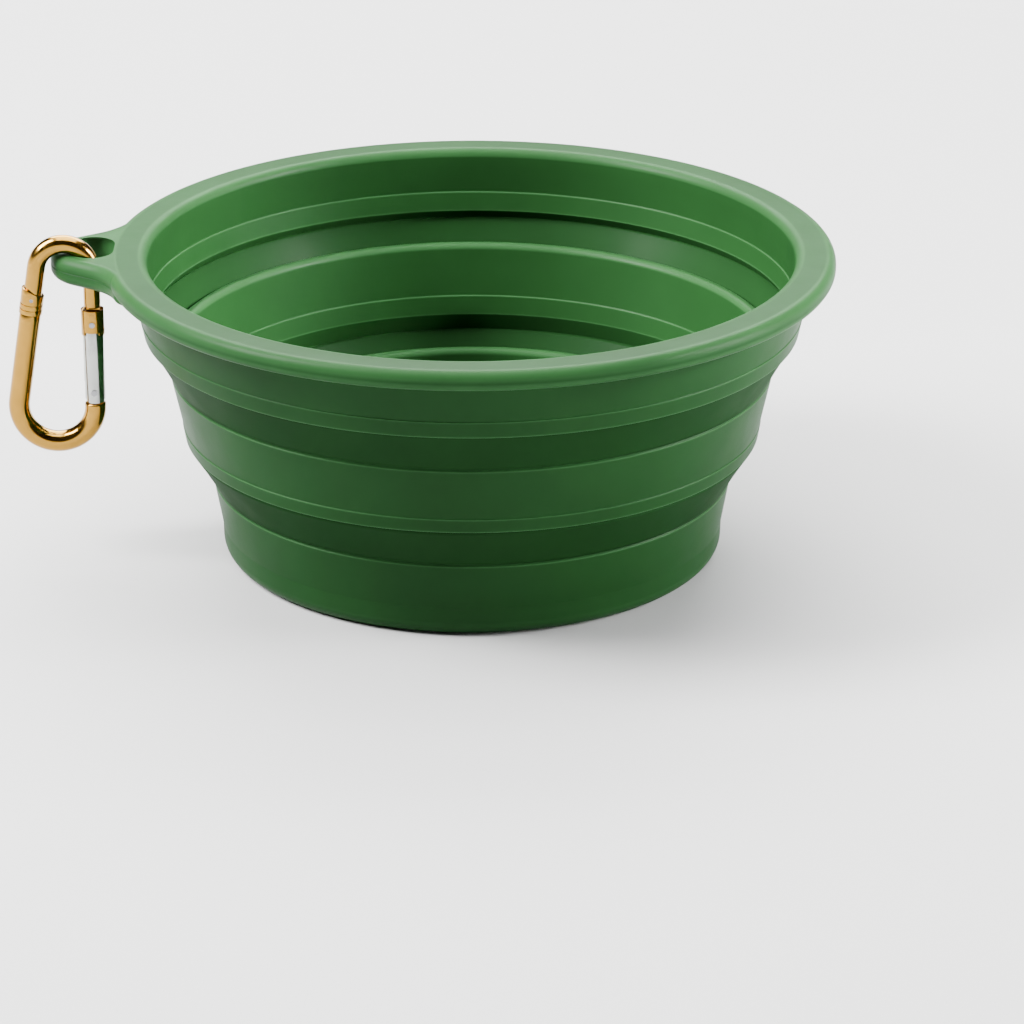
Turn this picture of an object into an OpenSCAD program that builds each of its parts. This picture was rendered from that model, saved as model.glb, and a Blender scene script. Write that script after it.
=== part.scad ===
// Collapsible silicone pet bowl with a hang tab and a spring-gate clip.
// The bowl stands open on its foot ring, +Z up, with the origin at the middle of
// the ring's rest face. The hang tab points along -X and the clip hangs through it.

/* [Bowl] */
// Outer radius of the rim bead
rim_r = 89; // [80:0.5:100]
// Thickness of each wall band, measured across
wall_t = 3.2; // [2.4:0.1:3.6]
// Reach of the bead past the wall under it
bead_reach = 5.6; // [4.6:0.1:6.2]
// Radius that the upper band loses from the bead down to its hem
upper_draw = 3.2; // [2.4:0.1:4]
// Width of the upper fold, from the hem in to the middle band
upper_reach = 6.3; // [5.5:0.1:7]
// Radius that the middle band loses from its top down to its hem
middle_draw = 3.3; // [2.4:0.1:4]
// Width of the lower fold, from the hem in to the base cup
lower_reach = 6.7; // [5.7:0.1:7.4]
// Radius that the base cup loses from the lower fold down to its foot
base_draw = 2.1; // [1.5:0.1:2.8]

/* [Bowl heights] */
// Height of the base cup up to the lower fold
base_h = 19.2; // [18:0.1:21]
// Height that each fold spans while the bowl is open
fold_h = 10; // [9:0.1:11]
// Height of the middle band between its two folds
middle_h = 18; // [17:0.1:19]
// Height of the upper band, bead included
upper_h = 19.8; // [18:0.1:22]
// Height of the rim bead
bead_h = 4.8; // [4:0.1:5.4]
// Height of the hem strip along the foot of a band
hem_h = 4.7; // [3.5:0.1:5.5]
// Step of the hem strip out of the band
hem_step = 0.25; // [0.1:0.05:0.5]
// Rise of the upper band's inner hem edge over its outer one
upper_bevel = 3.6; // [3:0.1:4.5]
// Rise of the middle band's inner hem edge over its outer one
middle_bevel = 6.3; // [5:0.1:7]
// Rise of the middle band's lip above the upper fold
middle_lip = 6.4; // [5:0.1:7]
// Rise of the base cup's lip above the lower fold
base_lip = 8.8; // [7:0.1:9.4]

/* [Rim and foot] */
// Width of the rim's flat land
land_w = 5.8; // [5:0.1:6.4]
// Radius along the bead's outer edges
bead_edge_r = 1.9; // [1:0.1:2.2]
// Radius from the land down into the bowl
mouth_r = 2.2; // [1.5:0.1:3]
// Radius round the foot of the base cup
foot_r = 7.5; // [6:0.1:8.5]
// Thickness of the foot shell
foot_t = 2.8; // [2.2:0.1:3.2]
// Width of the flat ring that the bowl rests on
rest_w = 4.3; // [3:0.1:6]
// Depth of the drinking floor under the lower fold
floor_drop = 1.7; // [1:0.1:3]
// Thickness of the drinking floor
floor_t = 2.6; // [2:0.1:3.4]
// Radius from the floor up into the wall
floor_fillet = 7; // [5:0.1:8]
// Thickness of the fold skins
skin_t = 1.1; // [0.8:0.05:1.3]
// Distance from a hem's outer corner in to the fold skin
skin_inset = 0.5; // [0.3:0.05:0.9]

/* [Hang tab] */
// Distance from the rim's edge out to the middle of the tab's eye
eye_reach = 3.6; // [3:0.1:4.4]
// Width of the eye across the tab's length
eye_w = 10.8; // [10:0.1:11.4]
// Length of the eye along the rim
eye_l = 16; // [15.6:0.1:17]
// Chamfer round the eye's edges
eye_chamfer = 1; // [0.8:0.1:1.2]
// Width of the tab past the eye, at its tip
tab_tip_w = 4.8; // [4:0.1:5.2]
// Width of the tab beside the eye
tab_side_w = 4; // [3.4:0.1:4.8]
// Half width that the tab gains from its round end to its root
tab_flare = 10.5; // [8:0.5:12]
// Thickness of the tab
tab_t = 7; // [6:0.1:7.4]
// Radius along the tab's edges
tab_edge_r = 2.2; // [2:0.1:2.6]

/* [Clip frame] */
// Thickness of the clip's lower rod
rod_d = 5.2; // [4.8:0.1:5.4]
// Thickness of the hook arm
hook_d = 4.5; // [4.2:0.1:4.7]
// Thickness of the hook's straight nose
nose_d = 4.1; // [3.8:0.1:4.3]
// Radius of the lower bend, along the rod's middle
low_bend_r = 9.4; // [8.8:0.1:10]
// Height between the centres of the two bends
bend_gap = 35.1; // [34:0.1:37]
// Length of the hook arm between its bend and the collar
arm_l = 5.7; // [5:0.1:6.5]
// Outer diameter of the spine collar
collar_d = 5.7; // [5.6:0.1:6]
// Length of the spine collar
collar_l = 6.4; // [6:0.1:7]
// Diameter of the pin across the spine collar
collar_pin_d = 0.9; // [0.7:0.1:1.2]

/* [Clip gate] */
// Outer diameter of the gate tube
gate_d = 5.1; // [4.8:0.1:5.2]
// Bore of the gate tube
gate_bore_d = 3; // [2.8:0.1:3.2]
// Outer diameter of the gate's cap
cap_d = 5.7; // [5.6:0.1:6]
// Length of the cap over the latch
cap_l = 5.6; // [5.4:0.1:6]
// Length of the cap's two side flanges
flange_l = 0.8; // [0.5:0.1:1.2]
// Height of the hinge rivet above the lower bend's centre
hinge_h = 4; // [3.8:0.1:4.6]
// Length of the gate above its hinge
gate_l = 21.2; // [20.6:0.1:21.6]
// Length of the gate's cheeks below the hinge
cheek_l = 2.7; // [2.4:0.1:2.8]
// Diameter of the hinge rivet
rivet_d = 1.3; // [1.1:0.05:1.5]
// Diameter of the latch pin
latch_d = 1.1; // [0.9:0.05:1.2]
// Distance from the cap's end to the latch pin
latch_drop = 3.4; // [3.2:0.1:3.5]
// Thickness of the flat tangs inside the gate
tang_t = 1.8; // [1.5:0.05:2]
// Diameter of the plunger
plunger_d = 2.2; // [2:0.05:2.4]
// Length of the plunger
plunger_l = 3; // [2.5:0.1:3.5]
// Thickness of the spring wire
wire_d = 0.4; // [0.3:0.05:0.5]
// Free length of spring in the gate
spring_l = 7.5; // [6:0.1:8]
// Number of turns in the spring
spring_turns = 7; // [5:1:9]

/* [Fits] */
// Gap round the rivet in the frame's tang
run_gap = 0.05; // [0.03:0.01:0.08]
// Gap at each side of the tangs
side_gap = 0.1; // [0.08:0.01:0.2]
// Gap under the hook where it hangs on the tab
hang_gap = 0.3; // [0.2:0.05:0.5]
// Room between the tab's tip and the spine of the clip
hook_room = 0.95; // [0.6:0.05:1.4]
// Gap between the hook and the end of the tab's eye
eye_gap = 0.75; // [0.5:0.05:1]
// Gap between the gate and what it closes against
stop_gap = 0.4; // [0.3:0.05:0.5]
// Gap left between a moving band and the skin that folds to it
fold_gap = 0.3; // [0.2:0.05:0.4]

/* [Hidden] */

silicone = [0.18, 0.42, 0.20];
fold_green = [0.12, 0.31, 0.14];
gold = [0.86, 0.62, 0.26];
silver = [0.80, 0.81, 0.82];
steel = [0.62, 0.63, 0.65];

round_fn = 180;
rod_fn = 48;
pin_fn = 32;
arc_steps = 8;
overrun = 1;

// Heights of the fold lines, from the rest face up
lower_fold_z = base_h;
middle_hem_z = lower_fold_z + fold_h;
upper_fold_z = middle_hem_z + middle_h;
upper_hem_z = upper_fold_z + fold_h;
bowl_h = upper_hem_z + upper_h;
bead_z = bowl_h - bead_h;
tab_z = bowl_h - tab_t;

// Outer wall radii: under the bead, at the hems, and at the tops below the folds
upper_top_r = rim_r - bead_reach;
upper_hem_r = upper_top_r - upper_draw;
middle_top_r = upper_hem_r - upper_reach;
middle_hem_r = middle_top_r - middle_draw;
base_top_r = middle_hem_r - lower_reach;
base_low_r = base_top_r - base_draw;

// Taper of each band's outer wall, radius gained for height gained
upper_taper = (upper_top_r - upper_hem_r) / (bead_z - upper_hem_z);
middle_taper = (middle_top_r - middle_hem_r) / middle_h;
base_taper = (base_top_r - base_low_r) / (base_h - foot_r);

// Outer wall radius of each band at a height
function upper_wall(z) = upper_hem_r + (z - upper_hem_z) * upper_taper;
function middle_wall(z) = middle_hem_r + (z - middle_hem_z) * middle_taper;
function base_wall(z) = base_low_r + (z - foot_r) * base_taper;

// Points along an arc about [x, z], from angle a to angle b
function arc(x, z, r, a, b) =
    [for (i = [0 : arc_steps]) let (t = a + (b - a) * i / arc_steps) [x + r * cos(t), z + r * sin(t)]];

// Half round along the top of a wall, whose outer face ends at [x, z]
function lip_arc(x, z) = arc(x - wall_t / 2, z, wall_t / 2, 0, 180);

// A point a distance d from point a towards point b
function towards(a, b, d) = a + (b - a) * d / norm(b - a);

module revolve(points) {
    rotate_extrude($fn = round_fn) polygon(points);
}

// Hem edges of the two bands that a fold skin starts from
upper_hem_out = [upper_hem_r, upper_hem_z];
upper_hem_in = [upper_wall(upper_hem_z + upper_bevel) - wall_t, upper_hem_z + upper_bevel];
middle_hem_out = [middle_hem_r, middle_hem_z];
middle_hem_in = [middle_wall(middle_hem_z + middle_bevel) - wall_t, middle_hem_z + middle_bevel];

land_out_r = rim_r - bead_edge_r;
land_in_r = land_out_r - land_w;
mouth_wall_r = land_in_r - mouth_r;

// Upper band, bead and hang tab, one moulding
module rim_band() {
    color(silicone) difference() {
        union() {
            revolve(concat(
                [upper_hem_out,
                 [upper_wall(upper_hem_z + hem_h), upper_hem_z + hem_h],
                 [upper_wall(upper_hem_z + hem_h) + hem_step, upper_hem_z + hem_h + hem_step],
                 [upper_top_r, bead_z]],
                arc(rim_r - bead_edge_r, bead_z + bead_edge_r, bead_edge_r, -90, 0),
                arc(rim_r - bead_edge_r, bowl_h - bead_edge_r, bead_edge_r, 0, 90),
                arc(land_in_r, bowl_h - mouth_r, mouth_r, 90, 180),
                [[mouth_wall_r, bowl_h - mouth_r - bead_edge_r],
                 [upper_hem_in[0] + hem_h * upper_taper + hem_step, upper_hem_in[1] + hem_h],
                 [upper_hem_in[0] + hem_h * upper_taper, upper_hem_in[1] + hem_h - hem_step],
                 upper_hem_in]));
            difference() {
                tab_plate();
                bowl_mouth();
            }
        }
        tab_eye();
    }
}

// Space inside the bead and upper wall, which the tab must not fill
module bowl_mouth() {
    translate([0, 0, tab_z - overrun])
        cylinder(r = upper_top_r - wall_t / 2, h = tab_t + 2 * overrun, $fn = round_fn);
}

// Disc of the tab's section, with rounded edges
module round_disc(r, t, edge) {
    rotate_extrude($fn = pin_fn)
        polygon(concat([[0, 0]],
            arc(r - edge, edge, edge, -90, 0),
            arc(r - edge, t - edge, edge, 0, 90),
            [[0, t]]));
}

// Eye and round end of the tab, out from the bowl's axis
eye_x = rim_r + eye_reach;
tab_r = eye_l / 2 + tab_side_w;
tab_x = eye_x + eye_w / 2 + tab_tip_w - tab_r;

// Flat plate that tapers from the rim to a round end
module tab_plate() {
    root_r = 2 * tab_edge_r;
    hull() {
        translate([-tab_x, 0, tab_z]) round_disc(tab_r, tab_t, tab_edge_r);
        for (side = [-1, 1])
            translate([-upper_top_r + wall_t, side * (tab_r + tab_flare - root_r), tab_z])
                round_disc(root_r, tab_t, tab_edge_r);
    }
}

// Long eye through the tab, chamfered above and below
module tab_eye() {
    straight = eye_l - eye_w;
    translate([-eye_x, 0, 0]) {
        eye_slot(eye_w / 2, straight, tab_z - overrun, tab_t + 2 * overrun);
        for (side = [-1, 1]) translate([0, side * straight / 2, 0]) {
            translate([0, 0, bowl_h - eye_chamfer])
                cylinder(r1 = eye_w / 2, r2 = eye_w / 2 + eye_chamfer + overrun,
                         h = eye_chamfer + overrun, $fn = rod_fn);
            translate([0, 0, tab_z - overrun])
                cylinder(r1 = eye_w / 2 + eye_chamfer / 2 + overrun, r2 = eye_w / 2,
                         h = eye_chamfer / 2 + overrun, $fn = rod_fn);
        }
        eye_side_chamfer(straight);
    }
}

module eye_slot(r, straight, z, h) {
    for (side = [-1, 1])
        translate([0, side * straight / 2, z]) cylinder(r = r, h = h, $fn = rod_fn);
    translate([-r, -straight / 2, z]) cube([2 * r, straight, h]);
}

// Chamfer along the eye's two straight sides
module eye_side_chamfer(straight) {
    half = eye_w / 2;
    top = bowl_h + overrun;
    low = bowl_h - eye_chamfer;
    reach = half + eye_chamfer + overrun;
    translate([0, straight / 2, 0]) rotate([90, 0, 0])
        linear_extrude(height = straight)
            polygon([[-half, low], [half, low], [reach, top], [-reach, top]]);
}

// Middle band, whose lip stands behind the upper fold
module middle_band() {
    lip_z = upper_fold_z + middle_lip - wall_t / 2;
    hem_z = middle_hem_z + hem_h;
    color(silicone) revolve(concat(
        [middle_hem_out,
         [middle_wall(hem_z), hem_z],
         [middle_wall(hem_z) + hem_step, hem_z + hem_step],
         [middle_top_r + hem_step, upper_fold_z - hem_step],
         [middle_top_r, upper_fold_z]],
        lip_arc(middle_wall(lip_z), lip_z),
        [[middle_hem_in[0] + hem_h * middle_taper, middle_hem_in[1] + hem_h],
         [middle_hem_in[0] + hem_h * middle_taper - hem_step, middle_hem_in[1] + hem_h - hem_step],
         middle_hem_in]));
}

// Drinking floor, flat as far as the hollow edge that turns up into the wall
floor_z = base_h - floor_drop;
under_z = floor_z - floor_t;
floor_x = base_wall(floor_z + floor_fillet) - wall_t - floor_fillet;

module base_floor() {
    color(silicone) translate([0, 0, under_z])
        cylinder(r = floor_x, h = floor_t, $fn = round_fn);
}

// Base cup round the drinking floor: rounded foot, wall and a lip behind the lower fold
module base_cup() {
    lip_z = lower_fold_z + base_lip - wall_t / 2;
    foot_x = base_low_r - foot_r;
    rest_in_r = foot_x - rest_w;
    under_r = foot_x + foot_r - foot_t;
    color(silicone) revolve(concat(
        arc(floor_x, floor_z + floor_fillet, floor_fillet, -90, 0),
        arc(base_wall(lip_z) - wall_t / 2, lip_z, wall_t / 2, 180, 0),
        [[base_top_r, lower_fold_z],
         [base_top_r + hem_step, lower_fold_z - hem_step],
         [base_low_r + hem_step / 2, foot_r + hem_step]],
        arc(foot_x, foot_r, foot_r, 0, -90),
        [[rest_in_r, 0], [rest_in_r, foot_t]],
        arc(foot_x, foot_r, foot_r - foot_t, -90, 0),
        arc(under_r - foot_t, under_z - foot_t, foot_t, 0, 90),
        [[floor_x, under_z]]));
}

// Thin skin from just under a hem down to the wall of the band below, bowed a
// little into the bowl
sag_share = 0.35;
module fold_skin(hem_out, hem_in, wall_point, wall_taper) {
    drop = [0, -fold_gap];
    start_out = towards(hem_out, hem_in, skin_inset) + drop;
    start_in = towards(hem_out, hem_in, skin_inset + skin_t) + drop;
    end_out = wall_point;
    end_in = wall_point + [skin_t * wall_taper, skin_t];
    run = end_out - start_out;
    bow = [run[1], -run[0]] / norm(run) * skin_t * sag_share;
    mid_out = (start_out + end_out) / 2 + bow;
    mid_in = (start_in + end_in) / 2 + bow;
    color(fold_green) revolve([start_out, start_in, mid_in, end_in, end_out, mid_out]);
}

module upper_fold_skin() {
    fold_skin(upper_hem_out, upper_hem_in, [middle_top_r, upper_fold_z], middle_taper);
}

module lower_fold_skin() {
    fold_skin(middle_hem_out, middle_hem_in, [base_top_r, lower_fold_z], base_taper);
}

// The clip is drawn in its own plane: x across, z up, the gate's line at x = 0
// and the upper bend's centre at z = 0. place_clip() hangs it in the tab's eye.
clip_y = hook_d / 2 + eye_gap - eye_l / 2;
top_bend_r = (eye_w / 2 + tab_tip_w + hook_room + hook_d / 2) / 2;
bend_top_z = bowl_h + hook_d / 2 + hang_gap - top_bend_r;
lean = atan((low_bend_r - top_bend_r) / bend_gap);
spine_normal = 180 - 2 * lean;
spine_l = bend_gap;
hinge_z = hinge_h - bend_gap;
gate_top_z = hinge_z + gate_l;

// A bend is a hair thicker than the straight rod, which runs a little way into it
bend_step = 0.02;
lap = 0.1;

module place_clip() {
    translate([-eye_x, clip_y, bend_top_z]) children();
}

// Round rod bent about [x, z] from angle a to angle b
module bent_rod(x, z, bend, d, a, b) {
    translate([x, 0, z]) rotate([90, 0, 0]) rotate([0, 0, a])
        rotate_extrude(angle = b - a, $fn = round_fn)
            translate([bend, 0]) circle(d = d + bend_step, $fn = rod_fn);
}

// Upright round rod between two heights
module straight_rod(low, high, d) {
    translate([0, 0, low]) cylinder(d = d, h = high - low, $fn = rod_fn);
}

// Hole or pin across the clip's plane, at a height
module cross_rod(z, d, across) {
    translate([0, 0, z]) rotate([90, 0, 0])
        cylinder(d = d, h = across, center = true, $fn = pin_fn);
}

// Frame at the head of the spine, with its z axis running up the spine
module on_spine() {
    translate([top_bend_r * (cos(spine_normal) - 1), 0, top_bend_r * sin(spine_normal)])
        rotate([0, 2 * lean, 0]) children();
}

// Collar on the spine: its two ends, and its halfway height where the rods meet
collar_top = -arm_l;
collar_low = collar_top - collar_l;
collar_mid = (collar_top + collar_low) / 2;
spigot_d = hook_d - 4 * side_gap;
pin_share = 0.38;
collar_pin_z = collar_top - collar_l * pin_share;

// Latch: the tongue under the nose, with a notch that the latch pin sits in
nose_z = gate_top_z + stop_gap;
latch_z = gate_top_z - latch_drop;
latch_slack = 0.15;
jaw_t = 0.6;
notch_h = latch_d + 2 * latch_slack;
tongue_z = latch_z - notch_h / 2 - jaw_t;
tongue_back = nose_d / 2 - jaw_t;
tongue_front = nose_d / 2 - latch_slack;

// Hook arm with its nose, tongue and latch notch
module hook_arm() {
    color(gold) place_clip() {
        bent_rod(-top_bend_r, 0, top_bend_r, hook_d, 0, spine_normal);
        on_spine() difference() {
            straight_rod(collar_mid + lap, lap, hook_d);
            cross_rod(collar_pin_z, collar_pin_d, 2 * hook_d);
        }
        straight_rod(nose_z, lap, nose_d);
        difference() {
            translate([-tongue_back, -tang_t / 2, tongue_z])
                cube([tongue_back + tongue_front, tang_t, nose_z - tongue_z + lap]);
            cross_rod(latch_z, notch_h, 2 * tang_t);
            translate([-tongue_back - overrun, -tang_t, latch_z - notch_h / 2])
                cube([tongue_back + overrun, 2 * tang_t, notch_h]);
        }
    }
}

// Collar that joins the hook arm to the spine rod
mouth_step = 1.3;
mouth_tilt = 20;
ring_cut = 0.15;

module spine_collar() {
    color(gold) place_clip() on_spine() difference() {
        straight_rod(collar_low, collar_top, collar_d);
        straight_rod(collar_mid, collar_top + overrun, hook_d + 2 * run_gap);
        straight_rod(collar_low - overrun, collar_mid + lap, spigot_d + 2 * run_gap);
        translate([0, 0, collar_top - mouth_step / 2]) rotate([0, mouth_tilt, 0])
            translate([-collar_d, -collar_d, 0]) cube([2 * collar_d, 2 * collar_d, collar_l]);
        for (ring = [1, 2]) translate([0, 0, collar_low + ring * mouth_step]) difference() {
            straight_rod(-ring_cut, ring_cut, collar_d + overrun);
            straight_rod(-ring_cut - overrun, ring_cut + overrun, collar_d - 2 * ring_cut);
        }
        cross_rod(collar_pin_z, collar_pin_d, 2 * collar_d);
    }
}

// Hollow pin across the collar and the hook arm
module collar_pin() {
    color(steel) place_clip() on_spine() difference() {
        cross_rod(collar_pin_z, collar_pin_d, collar_d);
        cross_rod(collar_pin_z, collar_pin_d / 3, collar_d + overrun);
    }
}

// Lower rod: spigot, spine, lower bend, shoulder and hinge tang
tang_rise = 1.6;
shoulder_z = hinge_z - cheek_l - stop_gap;
module spine_rod() {
    color(gold) place_clip() {
        on_spine() {
            straight_rod(-spine_l - lap, collar_low, rod_d);
            straight_rod(collar_low - lap, collar_mid, spigot_d);
        }
        bent_rod(-low_bend_r, -bend_gap, low_bend_r, rod_d, spine_normal, 360);
        straight_rod(-bend_gap - lap, shoulder_z, rod_d);
        difference() {
            translate([-nose_d / 2, -tang_t / 2, shoulder_z - lap])
                cube([nose_d, tang_t, hinge_z + tang_rise - shoulder_z + lap]);
            cross_rod(hinge_z, rivet_d + 2 * run_gap, 2 * tang_t);
        }
    }
}

// Inside the gate: slot for the tang, and the bore above it
slot_w = tang_t + 2 * side_gap;
slot_rise = tang_rise + 3 * stop_gap;
tube_top_z = gate_top_z - cap_l;
plunger_z = hinge_z + tang_rise + side_gap;
bore_top_z = plunger_z + plunger_l + spring_l;

// Gate tube, bored for the plunger and slotted for the hinge tang
module gate_tube() {
    low = hinge_z - cheek_l;
    color(silver) place_clip() difference() {
        straight_rod(low, tube_top_z, gate_d);
        straight_rod(hinge_z, bore_top_z, gate_bore_d);
        translate([-gate_d, -slot_w / 2, low - overrun])
            cube([2 * gate_d, slot_w, cheek_l + slot_rise + overrun]);
        headed_pin(hinge_z, rivet_d, gate_d);
        cheek_relief();
    }
}

// Round corner that lets the cheeks turn past the shoulder
module cheek_relief() {
    difference() {
        translate([-gate_d, -gate_d, hinge_z - gate_d]) cube([gate_d, 2 * gate_d, gate_d]);
        cross_rod(hinge_z, 2 * cheek_l + stop_gap, 3 * gate_d);
    }
}

// Gold cap of the gate, slotted for the tongue on its outer side
flange_share = 0.72;
module gate_cap() {
    slot_floor = tongue_z - jaw_t;
    low = tube_top_z - flange_l;
    color(gold) place_clip() difference() {
        straight_rod(low, gate_top_z, cap_d);
        straight_rod(low - overrun, tube_top_z, gate_d);
        translate([-gate_d * flange_share / 2, -cap_d, low - overrun])
            cube([gate_d * flange_share, 2 * cap_d, flange_l + overrun]);
        translate([-tongue_back - stop_gap, -slot_w / 2, slot_floor])
            cube([cap_d, slot_w, gate_top_z - slot_floor + overrun]);
        headed_pin(latch_z, latch_d, cap_d);
    }
}

// Pin with two low round heads, across the gate, and the hole that it fills
head_t = 0.15;
module headed_pin(z, d, across) {
    cross_rod(z, d, across);
    for (side = [-1, 1]) translate([0, side * across / 2, 0])
        cross_rod(z, d + 2 * head_t, 2 * head_t);
}

module latch_pin() {
    color(steel) place_clip() headed_pin(latch_z, latch_d, cap_d);
}

module hinge_rivet() {
    color(steel) place_clip() headed_pin(hinge_z, rivet_d, gate_d);
}

// Plunger that presses on the hinge tang
module gate_plunger() {
    color(steel) place_clip()
        straight_rod(plunger_z, plunger_z + plunger_l, plunger_d);
}

// Helical spring between the plunger and the end of the bore
wire_sides = 6;
turn_rings = 8;
module gate_spring() {
    coil_r = gate_bore_d / 2 - wire_d / 2 - side_gap;
    low = plunger_z + plunger_l + wire_d / 2 + run_gap;
    rise = spring_l - wire_d - 2 * run_gap;
    rings = spring_turns * turn_rings;
    points = [for (i = [0 : rings], k = [0 : wire_sides - 1])
        let (turn = 360 * i / turn_rings, side = 360 * k / wire_sides,
             reach = coil_r + wire_d / 2 * cos(side))
        [reach * cos(turn), reach * sin(turn), low + rise * i / rings + wire_d / 2 * sin(side)]];
    walls = [for (i = [0 : rings - 1], k = [0 : wire_sides - 1], half = [0, 1])
        let (a = i * wire_sides + k, b = i * wire_sides + (k + 1) % wire_sides)
        half == 0 ? [a, a + wire_sides, b] : [b, a + wire_sides, b + wire_sides]];
    first_end = [for (k = [1 : wire_sides - 2]) [0, k, k + 1]];
    last = rings * wire_sides;
    last_end = [for (k = [1 : wire_sides - 2]) [last, last + k + 1, last + k]];
    color(steel) place_clip() polyhedron(points, concat(walls, first_end, last_end));
}

base_cup();
base_floor();
lower_fold_skin();
middle_band();
upper_fold_skin();
rim_band();
hook_arm();
spine_collar();
collar_pin();
spine_rod();
gate_tube();
gate_cap();
latch_pin();
hinge_rivet();
gate_plunger();
gate_spring();
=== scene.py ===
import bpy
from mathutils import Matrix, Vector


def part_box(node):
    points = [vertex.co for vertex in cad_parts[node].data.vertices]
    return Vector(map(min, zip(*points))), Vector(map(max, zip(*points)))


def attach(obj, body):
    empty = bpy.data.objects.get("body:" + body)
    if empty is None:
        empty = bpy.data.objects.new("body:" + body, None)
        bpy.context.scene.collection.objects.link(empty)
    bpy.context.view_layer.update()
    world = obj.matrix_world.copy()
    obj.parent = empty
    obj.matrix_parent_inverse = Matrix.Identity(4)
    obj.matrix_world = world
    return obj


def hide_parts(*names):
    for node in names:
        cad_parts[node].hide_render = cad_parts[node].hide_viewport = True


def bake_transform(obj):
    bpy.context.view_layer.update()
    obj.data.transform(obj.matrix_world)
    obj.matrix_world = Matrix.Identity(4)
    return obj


bl_info = {
    "name": "Folding Pet Bowl",
    "version": (1, 0, 0),
    "blender": (4, 5, 0),
    "location": "3D View > Sidebar > Pet Bowl",
    "description": "Builds a folding silicone bowl with a hang tab and a snap hook round a packed model",
    "category": "Add Mesh",
}

from math import atan2, ceil, cos, pi, radians, sin, tan

import bmesh
import bpy
from bpy.props import FloatProperty, FloatVectorProperty, IntProperty, PointerProperty
from mathutils import Matrix, Vector
from mathutils.kdtree import KDTree

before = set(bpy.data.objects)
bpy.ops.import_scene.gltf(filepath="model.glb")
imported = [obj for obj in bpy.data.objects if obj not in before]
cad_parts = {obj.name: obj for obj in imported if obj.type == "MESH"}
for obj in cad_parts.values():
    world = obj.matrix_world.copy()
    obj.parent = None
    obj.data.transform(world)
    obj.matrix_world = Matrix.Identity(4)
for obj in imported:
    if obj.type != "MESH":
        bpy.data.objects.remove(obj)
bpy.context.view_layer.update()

RIM_LOW, RIM_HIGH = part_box("rim_band")
MIDDLE_LOW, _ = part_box("middle_band")
_, HOOK_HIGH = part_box("hook_arm")
GATE_LOW, GATE_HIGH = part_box("gate_tube")
GATE_X = (GATE_LOW[0] + GATE_HIGH[0]) / 2
CLIP_Y = (GATE_LOW[1] + GATE_HIGH[1]) / 2
HOOK_ROD = 0.0045
TOP_BEND = 0.0067
BEND_Z = HOOK_HIGH[2] - TOP_BEND - HOOK_ROD / 2


def size(name, value, description, low=0.0):
    """A length that a user can change, in metres."""
    return FloatProperty(
        name=name, description=description, default=value, min=low, unit="LENGTH", precision=5)


def colour(name, value, description):
    return FloatVectorProperty(
        name=name, description=description, default=value, size=3, min=0, max=1, subtype="COLOR")


class BowlSizes(bpy.types.PropertyGroup):
    rim_radius: size("Rim radius", RIM_HIGH[0], "Outer radius of the rim bead")
    height: size("Height", RIM_HIGH[2], "Height of the open bowl")
    wall: size("Wall", 0.0032, "Thickness of the wall bands")
    upper_top: size("Upper band top", 0.0834, "Outer radius of the upper band under the bead")
    upper_hem: size("Upper band hem", 0.0802, "Outer radius of the upper band at its hem")
    middle_top: size("Middle band top", 0.0739, "Outer radius of the middle band at the upper fold")
    middle_hem: size("Middle band hem", 0.0706, "Outer radius of the middle band at its hem")
    base_top: size("Base top", 0.0639, "Outer radius of the base cup at the lower fold")
    base_low: size("Base foot", 0.0618, "Outer radius of the base cup above its foot")
    upper_hem_z: size("Upper hem height", RIM_LOW[2], "Height of the upper band's hem")
    upper_fold_z: size("Upper fold height", 0.0472, "Height of the upper fold line")
    middle_hem_z: size("Middle hem height", MIDDLE_LOW[2], "Height of the middle band's hem")
    lower_fold_z: size("Lower fold height", 0.0192, "Height of the lower fold line")
    bead: size("Bead height", 0.0048, "Height of the rim bead")
    bead_edge: size("Bead edge", 0.0019, "Radius along the bead's outer edges")
    land: size("Land width", 0.0058, "Width of the rim's flat top")
    mouth: size("Mouth radius", 0.0022, "Radius from the rim's flat top down into the bowl")
    hem_strip: size("Hem strip", 0.0047, "Height of the strip along a band's hem")
    step: size("Hem step", 0.00022, "Width of the small ledge on top of a hem strip")
    upper_bevel: size("Upper bevel", 0.0036, "Rise of the upper band's inner hem edge")
    middle_bevel: size("Middle bevel", 0.0063, "Rise of the middle band's inner hem edge")
    middle_lip: size("Middle lip", 0.0064, "Rise of the middle band's lip above the fold")
    base_lip: size("Base lip", 0.0088, "Rise of the base cup's lip above the fold")
    foot: size("Foot radius", 0.0075, "Radius round the foot")
    foot_wall: size("Foot wall", 0.0028, "Thickness of the foot shell")
    rest_width: size("Rest ring", 0.0043, "Width of the ring that the bowl rests on")
    floor_z: size("Floor height", 0.0175, "Height of the drinking floor")
    floor_wall: size("Floor wall", 0.0026, "Thickness of the drinking floor")
    floor_fillet: size("Floor fillet", 0.0070, "Radius from the floor up into the wall")
    skin: size("Fold skin", 0.0011, "Thickness of the fold skins")
    skin_inset: size("Skin inset", 0.0005, "Distance from a hem's corner in to the fold skin")
    edge: size("Edge radius", 0.0004, "Radius along the moulded edges")
    segments: IntProperty(name="Segments", description="Steps round the bowl", default=288, min=64)


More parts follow.
